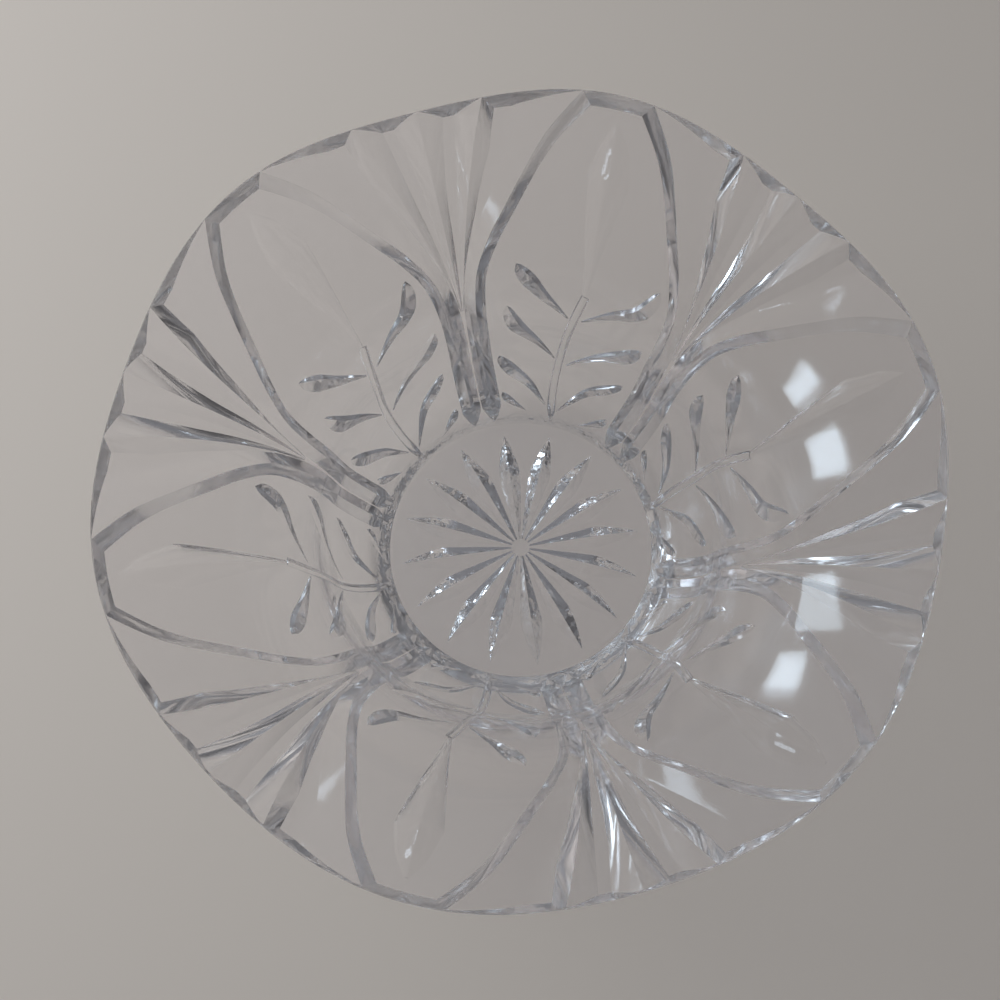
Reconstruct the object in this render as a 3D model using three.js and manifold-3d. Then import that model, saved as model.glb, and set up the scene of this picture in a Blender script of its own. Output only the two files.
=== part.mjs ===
// Crystal bowl, one piece of clear glass: six leaf panels and six fans cut on the outside,
// a smooth inside, a softly six-lobed rim and a star on the underside of the foot.
// Millimetres, +Z up, origin at the centre of the underside.

import * as THREE from 'three';
import { mergeVertices } from 'three/addons/utils/BufferGeometryUtils.js';
import Module from 'manifold-3d';

// sizes of the glass
const rimRadius = 115;
const bowlHeight = 100;
const footRadius = 44;
const wallThickness = 4.6;
const baseThickness = 13;
const rimEdgeThickness = 0.9;

// the rim waves out and up once for every panel
const panelCount = 6;
const lobeReach = 1.05;
const lobeRise = 2;

// sizes of the cuts: depths measured into the wall, tilts measured from the surface to the side of a cut
const degree = Math.PI / 180;
const fanRayTilt = 34 * degree;
const fanRimTilt = 22 * degree;
const fanOuterTilt = 42 * degree;
const panelRayDepth = 2.4;
const panelRayTilt = 20 * degree;
const archDepth = 2.7;
const archTilt = 37.5 * degree;
const archFanTilt = 11 * degree;
const stemDepth = 0.7;
const stemTilt = 27 * degree;
const leafTilt = 28 * degree;
const leafBackTilt = 62 * degree;
const starRayCount = 16;
const starDepth = 3.2;
const starTilt = 46 * degree;
const starMiddle = 2.5;
const starWidest = 22;
const starMargin = 4;

// the heel slants from the flat underside up to the wall, the lip is bevelled over its last stretch
// until only the thin rim edge is left, and the cuts that reach the rim end at that edge
const heelReach = 6;
const heelHeight = 7.4;
const lipLength = 4;
const lipBevel = wallThickness - rimEdgeThickness;
const floorRounding = 4.6;

// shape of the wall between heel and rim, as shares of its reach and of its rise,
// drawn on to where the outside would end without the bevel of the lip
const rimLean = 40 * degree;
const rimTop = bowlHeight - lobeRise;
const heelRadius = footRadius + heelReach;
const reach = rimRadius - lobeReach + lipBevel * Math.sin(rimLean) - heelRadius;
const rise = rimTop - wallThickness * Math.cos(rimLean) - heelHeight;
const wallShape = {
  heel: [0, 0],
  belly: [0.182, 0.213],
  waist: [0.270, 0.431],
  flare: [0.499, 0.680],
  rim: [1, 1],
};
const wallCurve = new THREE.CatmullRomCurve3(
  Object.values(wallShape).map(([out, up]) =>
    new THREE.Vector3(heelRadius + out * reach, 0, heelHeight + up * rise)),
  false, 'centripetal');

const wallLength = wallCurve.getLength();
const overcut = 1.5;
const panelAzimuth = 90 * degree;
const panelPitch = 2 * Math.PI / panelCount;

// the rim wave fades away down the wall and is gone at the base
function wave(radius, height, azimuth) {
  const fade = Math.max((height - baseThickness) / (rimTop - baseThickness), 0) ** 3;
  const strength = Math.cos(panelCount * (azimuth - panelAzimuth)) * fade;
  const r = radius + lobeReach * strength;
  return new THREE.Vector3(r * Math.cos(azimuth), r * Math.sin(azimuth), height + lobeRise * strength);
}

// the outline at a share of the way up the wall, with the way out of the glass
function outline(share) {
  const at = wallCurve.getPointAt(share);
  const along = wallCurve.getTangentAt(share);
  return { r: at.x, z: at.z, outR: along.z, outZ: -along.x };
}

// half of the bowl's section, from the middle of the underside round the rim to the middle of the inside
function section() {
  const points = [new THREE.Vector2(0, 0), new THREE.Vector2(footRadius, 0)];
  const wallSteps = 8;
  const lipStart = 1 - lipLength / wallLength;
  for (let i = 0; i <= wallSteps; i++) {
    const at = outline(lipStart * i / wallSteps);
    points.push(new THREE.Vector2(at.r, at.z));
  }
  const end = outline(1);
  points.push(new THREE.Vector2(end.r - end.outR * lipBevel, end.z - end.outZ * lipBevel));
  const innerSteps = 7;
  const innerStart = 0.06;
  for (let i = innerSteps; i >= 0; i--) {
    const at = outline(innerStart + (1 - innerStart) * i / innerSteps);
    const inner = new THREE.Vector2(at.r - at.outR * wallThickness, at.z - at.outZ * wallThickness);
    if (inner.y > baseThickness + floorRounding / 2) {
      points.push(inner);
    }
  }
  const [above, corner] = points.slice(-2);
  const lean = (above.x - corner.x) / (above.y - corner.y);
  const bend = new THREE.Vector2(corner.x - lean * (corner.y - baseThickness), baseThickness);
  const floorEdge = new THREE.Vector2(bend.x - floorRounding, baseThickness);
  points.push(...new THREE.QuadraticBezierCurve(corner, bend, floorEdge).getPoints(3).slice(1));
  points.push(new THREE.Vector2(0, baseThickness));
  return points;
}

const wasm = await Module();
wasm.setup();

// positions and triangles without doubles or slivers, ready for cutting
function solid(geometry) {
  const bare = new THREE.BufferGeometry();
  bare.setAttribute('position', geometry.getAttribute('position'));
  bare.setIndex(geometry.getIndex());
  const merged = mergeVertices(bare, 1e-4);
  const index = merged.getIndex().array;
  const kept = [];
  for (let i = 0; i < index.length; i += 3) {
    const [a, b, c] = [index[i], index[i + 1], index[i + 2]];
    if (a !== b && b !== c && c !== a) {
      kept.push(a, b, c);
    }
  }
  const mesh = new wasm.Mesh({
    numProp: 3,
    vertProperties: new Float32Array(merged.getAttribute('position').array),
    triVerts: new Uint32Array(kept),
  });
  return new wasm.Manifold(mesh);
}

// a spun bowl whose rings are pushed out and up along the rim wave
function blank() {
  const divisions = panelCount * 8;
  const spun = new THREE.LatheGeometry(section(), divisions);
  const position = spun.getAttribute('position');
  for (let i = 0; i < position.count; i++) {
    const radius = Math.hypot(position.getX(i), position.getZ(i));
    const azimuth = Math.atan2(-position.getZ(i), position.getX(i));
    const at = wave(radius, position.getY(i), azimuth);
    position.setXYZ(i, at.x, at.y, at.z);
  }
  return solid(spun);
}

// a closed tool through rings of points, each ring seen the same way round
function loft(rings) {
  const size = rings[0].length;
  const positions = rings.flat().flatMap(p => [p.x, p.y, p.z]);
  const index = [];
  for (let i = 0; i + 1 < rings.length; i++) {
    for (let j = 0; j < size; j++) {
      const a = i * size + j;
      const b = i * size + (j + 1) % size;
      index.push(a, b, a + size, b, b + size, a + size);
    }
  }
  const last = (rings.length - 1) * size;
  for (let j = 1; j + 1 < size; j++) {
    index.push(0, j + 1, j, last, last + j, last + j + 1);
  }
  const geometry = new THREE.BufferGeometry();
  geometry.setAttribute('position', new THREE.Float32BufferAttribute(positions, 3));
  geometry.setIndex(index);
  const tool = solid(geometry);
  return tool.volume() < 0 ? solid(flipped(geometry)) : tool;
}

function flipped(geometry) {
  const index = Array.from(geometry.getIndex().array);
  for (let i = 0; i < index.length; i += 3) {
    [index[i], index[i + 1]] = [index[i + 1], index[i]];
  }
  return geometry.clone().setIndex(index);
}

// a spot on the wall with the way out of the glass there
function spot(share, azimuth) {
  const inside = Math.min(Math.max(share, 0), 1);
  const past = (share - inside) * wallLength;
  const at = outline(inside);
  const along = wallCurve.getTangentAt(inside);
  const point = wave(at.r + along.x * past, at.z + along.z * past, azimuth);
  const out = new THREE.Vector3(at.outR * Math.cos(azimuth), at.outR * Math.sin(azimuth), at.outZ);
  return { point, out };
}

// a groove along a path: every stop has its spot and its section,
// which is drawn as distances across the path and out of the glass
function groove(stops) {
  const rings = stops.map((stop, i) => {
    const before = stops[Math.max(i - 1, 0)].point;
    const after = stops[Math.min(i + 1, stops.length - 1)].point;
    const side = new THREE.Vector3().subVectors(after, before).cross(stop.out).normalize();
    return stop.section.map(([across, up]) =>
      stop.point.clone().addScaledVector(side, across).addScaledVector(stop.out, up));
  });
  return loft(rings);
}

// straight-sided cut, its sides carried on above the surface, which may tilt each in its own way
function mitre(depth, tilt, otherTilt = tilt) {
  const height = depth + overcut;
  return [[-height / Math.tan(otherTilt), overcut], [0, -depth], [height / Math.tan(tilt), overcut]];
}

function steps(count, make) {
  return Array.from({ length: count + 1 }, (_, i) => make(i / count));
}

// a smooth path over the wall through turns in degrees and shares of the way up
function wallPath(places) {
  return new THREE.SplineCurve(places.map(([turn, share]) => new THREE.Vector2(turn, share)));
}

// three rays from the gathering point of a fan out to the rim, where their sides ease off,
// apart from the outer sides, which stand steep against the arches
function fanRays(fanCentre) {
  const start = 0.4;
  const easeStart = 0.73;
  const spread = 10 * degree;
  return [-1, 0, 1].map(hand => groove(steps(6, t => {
    const share = start + 0.02 + (1.03 - start) * t;
    const growth = (share - start) / (1 - start);
    const eased = THREE.MathUtils.clamp((share - easeStart) / (1 - easeStart), 0, 1);
    const inner = THREE.MathUtils.lerp(fanRayTilt, fanRimTilt, eased);
    const outer = THREE.MathUtils.lerp(fanRayTilt, fanOuterTilt, eased);
    const section = mitre(lipBevel * growth, hand > 0 ? outer : inner, hand < 0 ? outer : inner);
    return { ...spot(share, fanCentre + hand * spread * growth), section };
  })));
}

// two grooves rise side by side below a fan and swing out to frame the neighbouring panels,
// steep towards the panel and easing off towards the fan, until they break through the bevel of the lip
function arches(fanCentre) {
  const path = wallPath([
    [4.4, -0.06], [3.7, 0.18], [3.5, 0.36], [3.8, 0.446], [5.2, 0.535], [8.6, 0.625],
    [12.8, 0.714], [16.4, 0.803], [19.7, 0.893], [23, 0.964], [25.5, 1.018],
  ]);
  const runOut = { from: -0.08, to: 0.02 };
  const easeStart = 0.45;
  const deepenStart = 0.82;
  return [-1, 1].map(hand => groove(steps(14, t => {
    const at = path.getPoint(t);
    const rising = THREE.MathUtils.clamp((at.y - runOut.from) / (runOut.to - runOut.from), 0.02, 1);
    const deepened = THREE.MathUtils.clamp((at.y - deepenStart) / (1 - deepenStart), 0, 1);
    const depth = THREE.MathUtils.lerp(archDepth, lipBevel, deepened) * rising ** 0.6;
    const left = THREE.MathUtils.clamp((1 - at.y) / (1 - easeStart), 0, 1);
    const fanTilt = THREE.MathUtils.lerp(archFanTilt, archTilt, left ** 2);
    const section = hand < 0 ? mitre(depth, archTilt, fanTilt) : mitre(depth, fanTilt, archTilt);
    return { ...spot(at.y, fanCentre - hand * at.x * degree), section };
  })));
}

// stem, the long ray that carries it on almost to the rim, and the pairs of leaves
function spray(panelCentre) {
  const stemPath = wallPath([
    [1.5, -0.055], [2.5, 0.07], [2, 0.196], [0.8, 0.312], [-0.8, 0.4], [-2.2, 0.464],
  ]);
  const stem = groove(steps(6, t => {
    const at = stemPath.getPoint(t);
    return { ...spot(at.y, panelCentre + at.x * degree), section: mitre(stemDepth, stemTilt) };
  }));
  const ray = groove(steps(8, t => {
    const rayStart = 0.43;
    const rayDeepest = 0.785;
    const rayEnd = 0.937;
    const share = THREE.MathUtils.lerp(rayStart + 0.02, rayEnd - 0.001, t);
    const growth = Math.min((share - rayStart) / (rayDeepest - rayStart), 1);
    const fall = Math.min((rayEnd - share) / (rayEnd - rayDeepest), 1);
    const turn = -2 * degree * (1 - 0.7 * t ** 2);
    const section = mitre(panelRayDepth * growth ** 1.5 * fall ** 0.5, panelRayTilt);
    return { ...spot(share, panelCentre + turn), section };
  }));
  const leaves = [
    { hand: -1, width: 4.1, edge: [[2.5, 0.383], [14.6, 0.452], [18.7, 0.567]] },
    { hand: -1, width: 4.3, edge: [[0.3, 0.182], [14.7, 0.324], [21.2, 0.376]] },
    { hand: -1, width: 3.2, edge: [[0, -0.01], [14, 0.17], [20, 0.196]] },
    { hand: -1, width: 2.6, edge: [[7, -0.063], [14, -0.02], [20.2, 0.046]] },
    { hand: 1, width: 4.2, edge: [[1.2, 0.383], [11.5, 0.498], [15.4, 0.544]] },
    { hand: 1, width: 4.3, edge: [[3.5, 0.205], [12.7, 0.323], [18, 0.413]] },
    { hand: 1, width: 4.0, edge: [[4.5, 0.012], [13.2, 0.126], [21.2, 0.207]] },
    { hand: 1, width: 2.4, edge: [[11, -0.032], [15.5, 0], [21, 0.062]] },
  ].map(shape => leaf(panelCentre, shape));
  return [stem, ray, ...leaves];
}

// a leaf is a chip with one deep edge: thin at the stem, broadest near its end, turned up to a point
function leaf(panelCentre, { hand, width, edge }) {
  const breadths = [[0, 0.1], [0.3, 0.49], [0.6, 0.87], [0.85, 0.87], [1, 0.04]];
  const path = new THREE.QuadraticBezierCurve(...edge.map(([turn, share]) => new THREE.Vector2(turn, share)));
  return groove(breadths.map(([t, breadth]) => {
    const at = path.getPoint(t);
    const depth = width * breadth * Math.tan(leafTilt);
    const section = hand < 0 ? mitre(depth, leafBackTilt, leafTilt) : mitre(depth, leafTilt, leafBackTilt);
    return { ...spot(at.y, panelCentre + hand * at.x * degree), section };
  }));
}

// star of mitre cuts on the underside, pointed at the tips and crossing near the middle
function star() {
  const tip = footRadius - starMargin;
  const down = new THREE.Vector3(0, 0, -1);
  return Array.from({ length: starRayCount }, (_, i) => {
    const azimuth = 2 * Math.PI * i / starRayCount;
    return groove(steps(6, t => {
      const r = starMiddle + (tip - starMiddle) * t;
      const inwards = Math.max(starWidest - r, 0) / starWidest;
      const outwards = Math.max(r - starWidest, 0) / (tip - starWidest);
      const depth = starDepth * Math.max(1 - 0.7 * inwards ** 2 - outwards ** 1.6, 0.02);
      const point = new THREE.Vector3(r * Math.cos(azimuth), r * Math.sin(azimuth), 0);
      return { point, out: down, section: mitre(depth, starTilt) };
    }));
  });
}

const cuts = star();
for (let i = 0; i < panelCount; i++) {
  const panelCentre = panelAzimuth + i * panelPitch;
  const fanCentre = panelCentre + panelPitch / 2;
  cuts.push(...spray(panelCentre), ...fanRays(fanCentre), ...arches(fanCentre));
}
const bowlShape = cuts.reduce((glass, cut) => glass.subtract(cut), blank());

function meshOf(shape) {
  const cut = shape.getMesh();
  const geometry = new THREE.BufferGeometry();
  geometry.setAttribute('position', new THREE.BufferAttribute(new Float32Array(cut.vertProperties), 3));
  geometry.setIndex(new THREE.BufferAttribute(new Uint32Array(cut.triVerts), 1));
  return geometry;
}

const glass = new THREE.MeshStandardMaterial({ color: 0xdfe6e6, roughness: 0.04, metalness: 0 });
const bowl = new THREE.Mesh(meshOf(bowlShape), glass);
bowl.name = 'bowl';

const part = new THREE.Group();
part.name = 'crystal_bowl';
part.add(bowl);
export default part;
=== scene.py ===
import math
import bpy
import bmesh
from mathutils import Matrix, Vector


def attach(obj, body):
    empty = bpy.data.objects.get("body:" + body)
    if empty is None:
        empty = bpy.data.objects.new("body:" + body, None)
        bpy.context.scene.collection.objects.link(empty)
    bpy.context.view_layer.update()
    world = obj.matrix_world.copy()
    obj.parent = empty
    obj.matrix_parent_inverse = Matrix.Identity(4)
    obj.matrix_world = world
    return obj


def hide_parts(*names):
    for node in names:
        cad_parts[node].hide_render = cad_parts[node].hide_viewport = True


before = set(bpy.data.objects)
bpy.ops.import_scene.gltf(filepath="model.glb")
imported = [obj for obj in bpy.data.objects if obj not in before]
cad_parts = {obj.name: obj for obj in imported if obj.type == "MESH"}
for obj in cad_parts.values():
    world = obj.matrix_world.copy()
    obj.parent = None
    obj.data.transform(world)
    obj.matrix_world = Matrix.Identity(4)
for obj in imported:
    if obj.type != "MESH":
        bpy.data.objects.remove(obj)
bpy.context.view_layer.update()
print("frame loaded")

bowl = {  # millimetres
    "footRadius": 44.0,
    "heel": (50.0, 7.4),  # where the steep heel meets the wall
    "wallKnots": [(50.0, 7.4), (62.07, 25.95), (67.91, 44.93), (83.10, 66.61), (116.31, 94.46)],
    "wallThickness": 4.6,
    "floorThickness": 13.0,
    "floorRadius": 43.5,
    "edgeThickness": 0.9,
    "lipLength": 4.0,
    "lobeReach": 1.05,
    "lobeRise": 2.0,
    "rimTop": 98.0,
    "heelLength": 10.1,  # way from the foot's edge up to the wall
    "edgeBulge": 0.05,
    "panels": 6,
    "roundSteps": 288,
}


def lerp(a, b, t):
    return a + (b - a) * t


def traceWall(knots, stepsEach=60):  # smooth line through the knots, with the length along it
    points = [Vector(k) for k in knots]
    points = [2 * points[0] - points[1]] + points + [2 * points[-1] - points[-2]]
    line = [points[1]]
    for p0, p1, p2, p3 in zip(points, points[1:], points[2:], points[3:]):
        d0, d1, d2 = (p1 - p0).length ** 0.5, (p2 - p1).length ** 0.5, (p3 - p2).length ** 0.5
        leave = ((p1 - p0) / d0 - (p2 - p0) / (d0 + d1) + (p2 - p1) / d1) * d1
        arrive = ((p2 - p1) / d1 - (p3 - p1) / (d1 + d2) + (p3 - p2) / d2) * d1
        for i in range(1, stepsEach + 1):
            t = i / stepsEach
            line.append((2 * t**3 - 3 * t**2 + 1) * p1 + (t**3 - 2 * t**2 + t) * leave
                        + (3 * t**2 - 2 * t**3) * p2 + (t**3 - t**2) * arrive)
    lengths = [0.0]
    for a, b in zip(line, line[1:]):
        lengths.append(lengths[-1] + (b - a).length)
    return line, lengths


wallLine, wallLengths = traceWall(bowl["wallKnots"])
wallLength = wallLengths[-1]


def wallPoint(along):  # radius and height at a length up the wall, straight on past both ends
    i = 1
    while i < len(wallLine) - 1 and wallLengths[i] < along:
        i += 1
    t = (along - wallLengths[i - 1]) / (wallLengths[i] - wallLengths[i - 1])
    return wallLine[i - 1].lerp(wallLine[i], t)


def wallOut(along):  # the way out of the glass in the section
    ahead = wallPoint(along + 0.4) - wallPoint(along - 0.4)
    return Vector((ahead.y, -ahead.x)).normalized()


def lobed(radius, height, azimuth):  # the rim reaches out and up once for each panel
    base = bowl["floorThickness"]
    fade = max((height - base) / (bowl["rimTop"] - base), 0) ** 3
    swell = math.cos(bowl["panels"] * (azimuth - math.pi / 2)) * fade
    r = radius + bowl["lobeReach"] * swell
    return Vector((r * math.cos(azimuth), r * math.sin(azimuth), height + bowl["lobeRise"] * swell))


def spot(turn, up):  # a place on the wall: degrees clockwise from the first panel, mm up from the foot's edge
    azimuth = math.pi / 2 - math.radians(turn)
    along = up - bowl["heelLength"]
    at = wallPoint(along)
    step = 0.002
    across = lobed(at.x, at.y, azimuth + step) - lobed(at.x, at.y, azimuth - step)
    high, low = wallPoint(along + 0.3), wallPoint(along - 0.3)
    rising = lobed(high.x, high.y, azimuth) - lobed(low.x, low.y, azimuth)
    normal = across.cross(rising).normalized()
    return lobed(at.x, at.y, azimuth), normal


def bowlSection():  # from the middle of the underside round the lip to the middle of the floor inside
    points = [Vector((r, 0)) for r in (0, 8, 16, 24, 32, 38, 41)]
    foot, heel = Vector((bowl["footRadius"], 0)), Vector(bowl["heel"])
    points += [foot + Vector(p) for p in ((-0.5, 0), (0.0, 0.15), (0.35, 0.5))]  # edge just broken
    heelStart = points[-1]
    points += [heelStart.lerp(heel, i / 6) for i in range(1, 6)]
    lipStart = wallLength - bowl["lipLength"]
    wallSteps = 56
    points += [wallPoint(lipStart * i / wallSteps) for i in range(wallSteps + 1)]
    lipSteps = 6
    bevel = bowl["wallThickness"] - bowl["edgeThickness"]
    for i in range(1, lipSteps + 1):
        t = i / lipSteps
        along = lipStart + bowl["lipLength"] * t
        points.append(wallPoint(along) - wallOut(along) * bevel * t)
    tip, inner = points[-1], wallPoint(wallLength) - wallOut(wallLength) * bowl["wallThickness"]
    outward = (wallPoint(wallLength) - wallPoint(wallLength - 1)).normalized()
    for i in range(1, 5):  # the fire-polished edge
        t = i / 5
        points.append(tip.lerp(inner, t) + outward * bowl["edgeBulge"] * math.sin(math.pi * t))
    innerSteps, innerStart = 52, 8.5
    for i in range(innerSteps + 1):
        along = lerp(wallLength, innerStart, i / innerSteps)
        points.append(wallPoint(along) - wallOut(along) * bowl["wallThickness"])
    corner, floor = points[-1], Vector((bowl["floorRadius"], bowl["floorThickness"]))
    down = (points[-1] - points[-2]).normalized()
    bend = corner + down * (floor.y - corner.y) / down.y
    for i in range(1, 11):
        t = i / 10
        points.append(corner.lerp(bend, t).lerp(bend.lerp(floor, t), t))
    points += [Vector((r, floor.y)) for r in (38, 32, 24, 16, 8, 0)]
    return points


def meshObject(name, bm):
    mesh = bpy.data.meshes.new(name)
    bm.to_mesh(mesh)
    bm.free()
    made = bpy.data.objects.new(name, mesh)
    bpy.context.collection.objects.link(made)
    return made


def spinBlank():
    bm = bmesh.new()
    line = [bm.verts.new((p.x, 0, p.y)) for p in bowlSection()]
    edges = [bm.edges.new(pair) for pair in zip(line, line[1:])]
    bmesh.ops.spin(bm, geom=line + edges, cent=(0, 0, 0), axis=(0, 0, 1), angle=2 * math.pi,
                   steps=bowl["roundSteps"], use_merge=True)
    bmesh.ops.remove_doubles(bm, verts=bm.verts[:], dist=1e-4)
    for v in bm.verts:
        v.co = lobed(math.hypot(v.co.x, v.co.y), v.co.z, math.atan2(v.co.y, v.co.x))
    bmesh.ops.recalc_face_normals(bm, faces=bm.faces[:])
    return meshObject("blank", bm)


cuts = {  # turn in degrees clockwise from the panel's middle, up in mm along the wall from the foot's edge
    "overcut": 1.5,
    "rightLeaves": [  # the deep edge of each leaf from tail to tip, and the leaf's width
        ([(2.5, 53), (10, 59.7), (15.2, 64.3), (18.7, 73.5)], 4.1),
        ([(0.3, 30.5), (10, 41.3), (15.5, 46.4), (21.2, 52.2)], 4.3),
        ([(0, 9), (9, 22.3), (15, 27.3), (20, 32)], 3.2),
        ([(7, 3), (14, 8.5), (20.2, 15.2)], 2.6),
    ],
    "leftLeaves": [
        ([(-1.2, 53), (-8, 61), (-11.8, 66.8), (-15.4, 71)], 4.2),
        ([(-3.5, 33), (-9, 41.8), (-14.5, 49.2), (-18, 56.3)], 4.3),
        ([(-4.5, 11.5), (-10, 20.1), (-16, 26.6), (-21.2, 33.3)], 4.0),
        ([(-11, 6.5), (-15.5, 10.8), (-21, 17)], 2.4),
    ],
    "leafTilt": 28.0,
    "leafBackTilt": 62.0,
    "stem": [(-1.5, 4), (-2.5, 18), (-2.0, 32), (-0.8, 45), (0.8, 55), (2.2, 62)],
    "stemDepth": 0.7,
    "stemTilts": (8, 55),
    "panelRay": [(2.0, 60), (1.6, 80), (1.2, 100), (0.6, 114)],
    "panelRayDepths": [(58, 0.0), (76, 0.9), (98, 2.4), (108, 1.5), (115, 0.0)],
    "panelRayTilts": (12, 28),
    "fanStart": 55.0,
    "fanSpread": 10.0,
    "fanMiddle": 30.0,
    "rimUp": 122.0,
    "cutEnd": 125.0,  # past the rim, so that the rays notch it
    "fanRayDepth": 3.7,
    "fanRayTilts": [(92, 34), (122, 22)],  # tilt of the sides at each height
    "fanRayOuterTilts": [(92, 34), (108, 30), (122, 42)],  # side of the outer rays towards the arch
    "arch": [(25.6, 3), (26.4, 30), (26.6, 50), (26.2, 60), (24.8, 70), (21.4, 80), (17.2, 90), (13.6, 100),
             (10.3, 110), (7.0, 118), (4.5, 124)],
    "archDepths": [(1, 0.05), (5, 1.6), (12, 2.7), (102, 2.7), (122, 3.7)],
    "archTilt": 37.5,
    "archFanTilts": [(60, 36.5), (78, 25), (92, 17), (106, 13), (122, 11)],  # eases off to the fan
    "starRays": 16,
    "starDepth": 2.75,
    "starTilt": 37.5,
    "starWidest": 25.0,
    "starReach": 40.0,
    "starMiddle": 3.0,
}


def alongLine(points, count):  # smooth line through the points, in even steps
    line, lengths = traceWall(points, 24)
    places, i = [], 1
    for k in range(count + 1):
        goal = lengths[-1] * k / count
        while i < len(line) - 1 and lengths[i] < goal:
            i += 1
        places.append(line[i - 1].lerp(line[i], (goal - lengths[i - 1]) / (lengths[i] - lengths[i - 1])))
    return places


def between(stops, up):  # value at a height, from pairs of height and value
    for (low, first), (high, second) in zip(stops, stops[1:]):
        if up < high:
            return lerp(first, second, max((up - low) / (high - low), 0))
    return stops[-1][1]


def flank(depth, inner, outer, steps=3):  # one side of a groove, from its valley out past the surface
    points, across = [], 0.0
    for i in range(steps):
        across += depth / steps / math.tan(math.radians(lerp(inner, outer, (i + 0.5) / steps)))
        points.append((across, depth * (i + 1) / steps - depth))
    points.append((across + cuts["overcut"] / math.tan(math.radians(outer)), cuts["overcut"]))
    return points


def groove(depth, ahead, behind):  # section of a wheel cut, a pair of tilts for each side
    return ([p for p in reversed(flank(depth, *ahead))] + [(0, -depth)]
            + [(-across, high) for across, high in flank(depth, *behind)])


def sweepCutter(bm, stops):  # each stop is a place, the way out of the glass and the section there
    rings, last = [], len(stops) - 1
    for i, (centre, out, section) in enumerate(stops):
        ahead = (stops[min(i + 1, last)][0] - stops[max(i - 1, 0)][0]).normalized()
        side = ahead.cross(out).normalized()
        up = side.cross(ahead)
        made = bmesh.ops.create_circle(bm, cap_ends=i in (0, last), segments=len(section), radius=1)
        for v, (across, high) in zip(made["verts"], section):
            v.co = centre + side * across + up * high
        rings.append(list({e for v in made["verts"] for e in v.link_edges}))
    for ring, following in zip(rings, rings[1:]):
        bmesh.ops.bridge_loops(bm, edges=ring + following)


def roundTheBowl(bm, name, copies):  # repeats a cutter round the axis
    bmesh.ops.recalc_face_normals(bm, faces=bm.faces[:])
    bmesh.ops.spin(bm, geom=bm.verts[:] + bm.edges[:] + bm.faces[:], cent=(0, 0, 0), axis=(0, 0, 1),
                   angle=2 * math.pi * (copies - 1) / copies, steps=copies - 1, use_duplicate=True)
    return meshObject(name, bm)


def leafCutter(leaves, hand):  # chips with one deep edge, struck by a tilted wheel
    bm = bmesh.new()
    face, back = (cuts["leafTilt"],) * 2, (cuts["leafBackTilt"],) * 2
    for edge, width in leaves:
        stops, count = [], 20
        for i, at in enumerate(alongLine(edge, count)):
            t = i / count
            breadth = 0.1 + 0.9 * t / 0.7 if t < 0.7 else math.sqrt(max(1 - ((t - 0.7) / 0.3) ** 2, 0.001))
            depth = width * breadth * math.tan(math.radians(cuts["leafTilt"]))
            section = groove(depth, back, face) if hand > 0 else groove(depth, face, back)
            stops.append((*spot(at.x, at.y), section))
        sweepCutter(bm, stops)
    return roundTheBowl(bm, "leaves", bowl["panels"])


def stemCutter():
    bm = bmesh.new()
    section = groove(cuts["stemDepth"], cuts["stemTilts"], cuts["stemTilts"])
    sweepCutter(bm, [(*spot(at.x, at.y), section) for at in alongLine(cuts["stem"], 24)])
    return roundTheBowl(bm, "stems", bowl["panels"])


def panelRayCutter():
    bm = bmesh.new()
    stops = []
    for at in alongLine(cuts["panelRay"], 24):
        depth = between(cuts["panelRayDepths"], at.y)
        stops.append((*spot(at.x, at.y), groove(depth, cuts["panelRayTilts"], cuts["panelRayTilts"])))
    sweepCutter(bm, stops)
    return roundTheBowl(bm, "panelRays", bowl["panels"])


def fanRayCutter(hand):
    bm = bmesh.new()
    start, stops = cuts["fanStart"], []
    for i in range(25):
        up = lerp(start + 2, cuts["cutEnd"], i / 24)
        turn = cuts["fanMiddle"] + hand * cuts["fanSpread"] * (up - start) / (cuts["rimUp"] - start)
        depth = cuts["fanRayDepth"] * (up - start) / (cuts["rimUp"] - start)
        tilts = between(cuts["fanRayTilts"], up), between(cuts["fanRayOuterTilts"], up)
        inner, outer = [(tilt - 2, tilt + 2) for tilt in tilts]  # sides slightly hollow
        section = groove(depth, outer if hand < 0 else inner, outer if hand > 0 else inner)
        stops.append((*spot(turn, up), section))
    sweepCutter(bm, stops)
    return roundTheBowl(bm, "fanRays", bowl["panels"])


def archCutter(hand):  # groove that frames a panel on one side, steep towards the panel
    bm = bmesh.new()
    stops = []
    steep = (cuts["archTilt"],) * 2
    for at in alongLine(cuts["arch"], 60):
        fanSide = (between(cuts["archFanTilts"], at.y),) * 2
        depth = between(cuts["archDepths"], at.y)
        section = groove(depth, steep, fanSide) if hand > 0 else groove(depth, fanSide, steep)
        stops.append((*spot(hand * at.x, at.y), section))
    sweepCutter(bm, stops)
    return roundTheBowl(bm, "arches", bowl["panels"])


def starCutter(first):  # every second ray, so that neighbours don't cross in one cutter
    bm = bmesh.new()
    stops, down = [], Vector((0, 0, -1))
    widest, reach, tilts = cuts["starWidest"], cuts["starReach"], (cuts["starTilt"],) * 2
    for i in range(25):
        r = lerp(cuts["starMiddle"], reach - 0.1, i / 24)
        share = (r / widest) ** 0.9 if r < widest else 1 - ((r - widest) / (reach - widest)) ** 1.6
        stops.append((Vector((r, 0, 0)), down, groove(cuts["starDepth"] * share, tilts, tilts)))
    sweepCutter(bm, stops)
    turn = 2 * math.pi * first / cuts["starRays"]
    bmesh.ops.rotate(bm, verts=bm.verts[:], cent=(0, 0, 0), matrix=Matrix.Rotation(turn, 3, "Z"))
    return roundTheBowl(bm, "starRays", cuts["starRays"] // 2)


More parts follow.
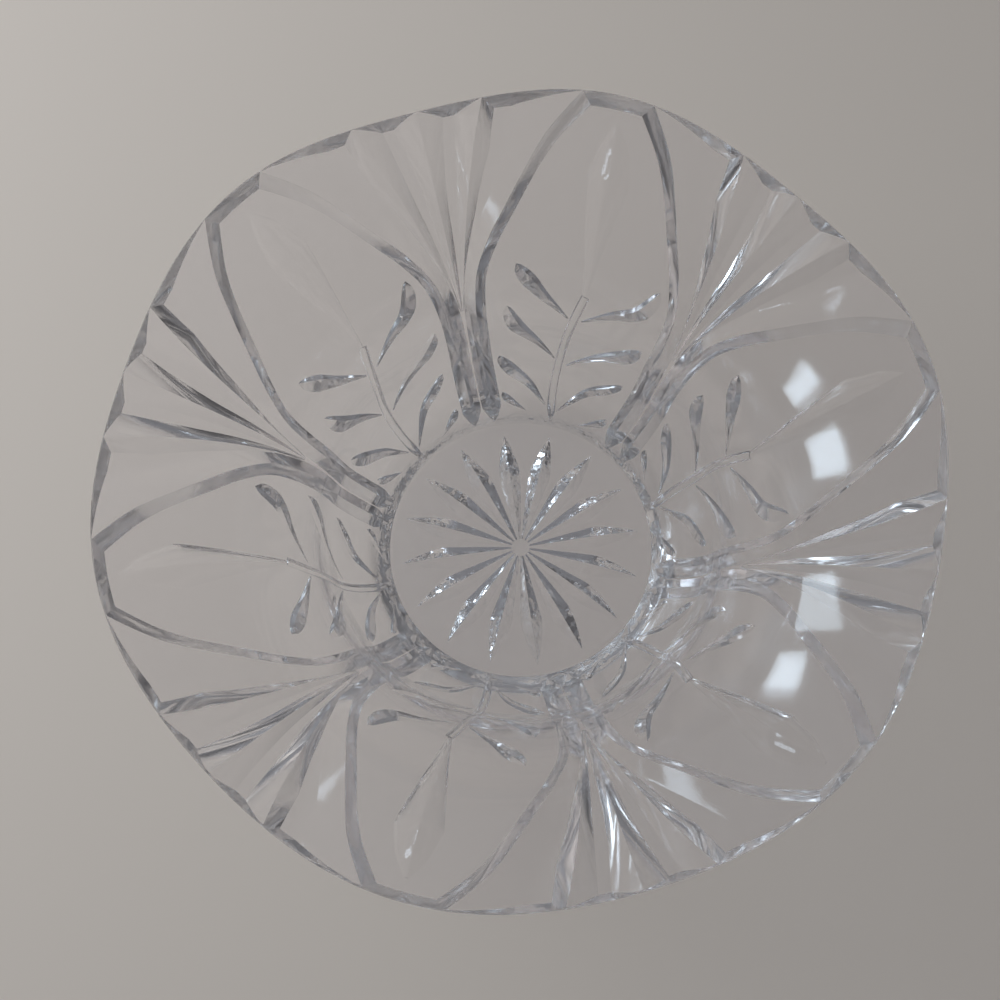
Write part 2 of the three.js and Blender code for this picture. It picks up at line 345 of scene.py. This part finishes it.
def cutAway(target, cutters):
    for cutter in cutters:
        cut = target.modifiers.new(cutter.name, "BOOLEAN")
        cut.operation = "DIFFERENCE"
        cut.solver = "MANIFOLD"
        cut.object = cutter
    graph = bpy.context.evaluated_depsgraph_get()
    mesh = bpy.data.meshes.new_from_object(target.evaluated_get(graph))
    for cutter in cutters:
        bpy.data.objects.remove(cutter)
    return mesh


def makeBowl():
    blank = spinBlank()
    print("blank spun:", len(blank.data.polygons), "faces")
    cutters = [leafCutter(cuts["rightLeaves"], 1), leafCutter(cuts["leftLeaves"], -1)]
    cutters += [stemCutter(), panelRayCutter()]
    cutters += [fanRayCutter(hand) for hand in (-1, 0, 1)]
    cutters += [archCutter(hand) for hand in (-1, 1)]
    cutters += [starCutter(first) for first in (0, 1)]
    mesh = cutAway(blank, cutters)
    bpy.data.objects.remove(blank)
    mesh.transform(Matrix.Scale(0.001, 4))
    bm = bmesh.new()
    bm.from_mesh(mesh)
    bmesh.ops.remove_doubles(bm, verts=bm.verts[:], dist=2e-6)
    bmesh.ops.recalc_face_normals(bm, faces=bm.faces[:])
    print("bowl cut:", len(bm.faces), "faces,", sum(len(f.verts) - 2 for f in bm.faces), "triangles,",
          sum(not e.is_manifold for e in bm.edges), "open edges")
    made = meshObject("crystalBowl", bm)
    made.data.shade_smooth()
    made.data.set_sharp_from_angle(angle=math.radians(22))
    return made


def linear(hexColour):  # sRGB hex to linear
    parts = [int(hexColour[i:i + 2], 16) / 255 for i in (1, 3, 5)]
    return tuple(c / 12.92 if c <= 0.04045 else ((c + 0.055) / 1.055) ** 2.4 for c in parts) + (1.0,)


def addNode(tree, kind, settings=None, inputs=None):  # a node with its settings, values and links
    node = tree.nodes.new(kind)
    for name, value in (settings or {}).items():
        setattr(node, name, value)
    for name, value in (inputs or {}).items():
        if isinstance(value, bpy.types.NodeSocket):
            tree.links.new(value, node.inputs[name])
        else:
            node.inputs[name].default_value = value
    return node


def newMaterial(name):
    material = bpy.data.materials.new(name)
    material.use_nodes = True
    material.node_tree.nodes.clear()
    return material, material.node_tree


def crystalMaterial():  # lead crystal, pressed, cut and fire-polished: clear, heavy refraction
    material, tree = newMaterial("leadCrystalCutAndPolished")
    place = addNode(tree, "ShaderNodeTexCoord")
    ripple = addNode(tree, "ShaderNodeTexNoise", inputs={
        "Vector": place.outputs["Object"], "Scale": 1 / 0.014, "Detail": 1.0})  # 14 mm waves
    bump = addNode(tree, "ShaderNodeBump", inputs={
        "Height": ripple.outputs["Fac"], "Strength": 0.12, "Distance": 0.0004})
    axes = addNode(tree, "ShaderNodeSeparateXYZ", inputs={0: place.outputs["Object"]})
    low = addNode(tree, "ShaderNodeMapRange", inputs={  # only on the star and the heel
        "Value": axes.outputs["Z"], "From Min": 0.008, "From Max": 0.005, "To Min": 0.0, "To Max": 0.35})
    wheel = addNode(tree, "ShaderNodeTexNoise", inputs={
        "Vector": place.outputs["Object"], "Scale": 1 / 0.0026, "Detail": 1.0})  # 2.6 mm wheel marks
    marks = addNode(tree, "ShaderNodeBump", inputs={
        "Height": wheel.outputs["Fac"], "Strength": low.outputs["Result"], "Distance": 0.0003,
        "Normal": bump.outputs["Normal"]})
    glass = addNode(tree, "ShaderNodeBsdfPrincipled", inputs={
        "Base Color": linear("#FEFDFF"), "Roughness": 0.06, "IOR": 1.545, "Transmission Weight": 1.0,
        "Normal": marks.outputs["Normal"]})
    path = addNode(tree, "ShaderNodeLightPath")
    clear = addNode(tree, "ShaderNodeBsdfTransparent", inputs={"Color": linear("#F4F4F5")})
    mixed = addNode(tree, "ShaderNodeMixShader", inputs={  # lamps shine through the glass onto the table
        0: path.outputs["Is Shadow Ray"], 1: glass.outputs["BSDF"], 2: clear.outputs["BSDF"]})
    addNode(tree, "ShaderNodeOutputMaterial", inputs={"Surface": mixed.outputs["Shader"]})
    return material


crystal = makeBowl()
crystal.data.materials.clear()
crystal.data.materials.append(crystalMaterial())
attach(crystal, "root")
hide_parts("bowl")
print("bowl in place")

room = {
    "floorColour": "#D4CBC0",
    "floorShare": 0.25,  # share shown plain, the rest takes light and shadow
    "floorPlain": "#ABA5A0",
    "floorGap": 0.0003,
    "panes": [(197.6, 4.6, 20.5, 31.7), (185.2, 7.7, 18.8, 29.7),  # azimuth, width, low, high, degrees
              (154.5, 12.0, 13.8, 24.5), (142.7, 5.2, 10.3, 18.4)],
    "paneDistance": 1.6,
    "paneColour": "#DFF1FF",
    "paneRadiance": 6.0,
    "wallColour": "#4C4B4C",
    "lightSideColour": "#8E9094",
    "ceilingColour": "#76777B",
    "lightSideAzimuth": 132.0,
    "lampPlace": (-0.75, 0.12, 0.62),
    "lampSize": 0.6,
    "lampWatts": 6.6,
    "lampColour": "#F4F8FF",
}


def floorMaterial():  # painted table top, matt
    material, tree = newMaterial("mattTableTop")
    path = addNode(tree, "ShaderNodeLightPath")
    seen = addNode(tree, "ShaderNodeMath", {"operation": "ADD"}, {
        0: path.outputs["Is Camera Ray"], 1: path.outputs["Is Glossy Ray"]})
    seen = addNode(tree, "ShaderNodeMath", {"operation": "ADD", "use_clamp": True}, {
        0: seen.outputs[0], 1: path.outputs["Is Transmission Ray"]})
    share = addNode(tree, "ShaderNodeMath", {"operation": "MULTIPLY"}, {
        0: seen.outputs[0], 1: room["floorShare"]})
    matt = addNode(tree, "ShaderNodeBsdfDiffuse", inputs={"Color": linear(room["floorColour"])})
    plain = addNode(tree, "ShaderNodeEmission", inputs={"Color": linear(room["floorPlain"]), "Strength": 1.0})
    mixed = addNode(tree, "ShaderNodeMixShader", inputs={
        0: share.outputs[0], 1: matt.outputs[0], 2: plain.outputs[0]})
    addNode(tree, "ShaderNodeOutputMaterial", inputs={"Surface": mixed.outputs[0]})
    return material


def makeFloor():
    bm = bmesh.new()
    bmesh.ops.create_grid(bm, x_segments=2, y_segments=2, size=3.0)
    bmesh.ops.translate(bm, verts=bm.verts[:], vec=(0, 0, -room["floorGap"]))
    floor = meshObject("floor", bm)
    floor.data.materials.append(floorMaterial())


def areaLamp(name, place, size, colour, watts):  # faces the bowl
    light = bpy.data.lights.new(name, "AREA")
    light.shape = "RECTANGLE"
    light.size, light.size_y = size
    light.color = linear(colour)[:3]
    light.energy = watts
    lamp = bpy.data.objects.new(name, light)
    lamp.location = place
    lamp.rotation_euler = (-place).to_track_quat("-Z", "Y").to_euler()
    bpy.context.collection.objects.link(lamp)
    return lamp


def makeWindow():  # four panes of daylight to the left
    for azimuth, width, low, high in room["panes"]:
        turn, middle = math.radians(azimuth), math.radians((low + high) / 2)
        flat = math.cos(middle)
        towards = Vector((math.cos(turn) * flat, math.sin(turn) * flat, math.sin(middle)))
        across = 2 * room["paneDistance"] * math.tan(math.radians(width / 2)) * flat
        tall = 2 * room["paneDistance"] * math.tan(math.radians((high - low) / 2))
        areaLamp("pane", towards * room["paneDistance"], (across, tall), room["paneColour"],
                 room["paneRadiance"] * math.pi * across * tall)


def makeLamp():  # soft light from the side of the window, for the table alone
    size = (room["lampSize"],) * 2
    lamp = areaLamp("softLight", Vector(room["lampPlace"]), size, room["lampColour"], room["lampWatts"])
    lamp.visible_camera = lamp.visible_glossy = lamp.visible_transmission = False


def makeWorld():  # a dim room, lighter behind and overhead
    world = bpy.data.worlds.new("room")
    bpy.context.scene.world = world
    world.use_nodes = True
    tree = world.node_tree
    tree.nodes.clear()
    towards = addNode(tree, "ShaderNodeTexCoord").outputs["Generated"]
    turn = math.radians(room["lightSideAzimuth"])
    facing = addNode(tree, "ShaderNodeVectorMath", {"operation": "DOT_PRODUCT"}, {
        0: towards, 1: (math.cos(turn), math.sin(turn), 0)})
    nearLight = addNode(tree, "ShaderNodeMapRange", {"interpolation_type": "SMOOTHSTEP"}, {
        "Value": facing.outputs["Value"], "From Min": 0.2, "From Max": 1.0})
    height = addNode(tree, "ShaderNodeSeparateXYZ", inputs={0: towards})
    overhead = addNode(tree, "ShaderNodeMapRange", {"interpolation_type": "SMOOTHSTEP"}, {
        "Value": height.outputs["Z"], "From Min": 0.45, "From Max": 0.95})
    sides = addNode(tree, "ShaderNodeMix", {"data_type": "RGBA"}, {
        0: nearLight.outputs[0], 6: linear(room["wallColour"]), 7: linear(room["lightSideColour"])})
    whole = addNode(tree, "ShaderNodeMix", {"data_type": "RGBA"}, {
        0: overhead.outputs[0], 6: sides.outputs[2], 7: linear(room["ceilingColour"])})
    air = addNode(tree, "ShaderNodeBackground", inputs={"Color": whole.outputs[2], "Strength": 1.0})
    addNode(tree, "ShaderNodeOutputWorld", inputs={"Surface": air.outputs[0]})


def makeCamera():
    lens = bpy.data.cameras.new("photoCamera")
    lens.sensor_width = 36.0
    lens.lens = 46.46
    eye = bpy.data.objects.new("photoCamera", lens)
    right = Vector((0.9674, 0.2527, -0.0162))
    up = Vector((-0.2392, 0.9328, 0.2697))
    back = Vector((0.0833, -0.2570, 0.9628))
    eye.matrix_world = Matrix.Translation((0.02565, -0.09834, 0.42677)) @ Matrix(
        (right, up, back)).transposed().to_4x4()
    bpy.context.collection.objects.link(eye)
    bpy.context.scene.camera = eye


makeFloor()
makeWindow()
makeLamp()
makeWorld()
makeCamera()
scene = bpy.context.scene
scene.view_settings.view_transform = "Standard"
scene.cycles.max_bounces = 40  # light goes round many times inside cut crystal
scene.cycles.transmission_bounces = 40
scene.cycles.glossy_bounces = 24
print("room, light and camera set")
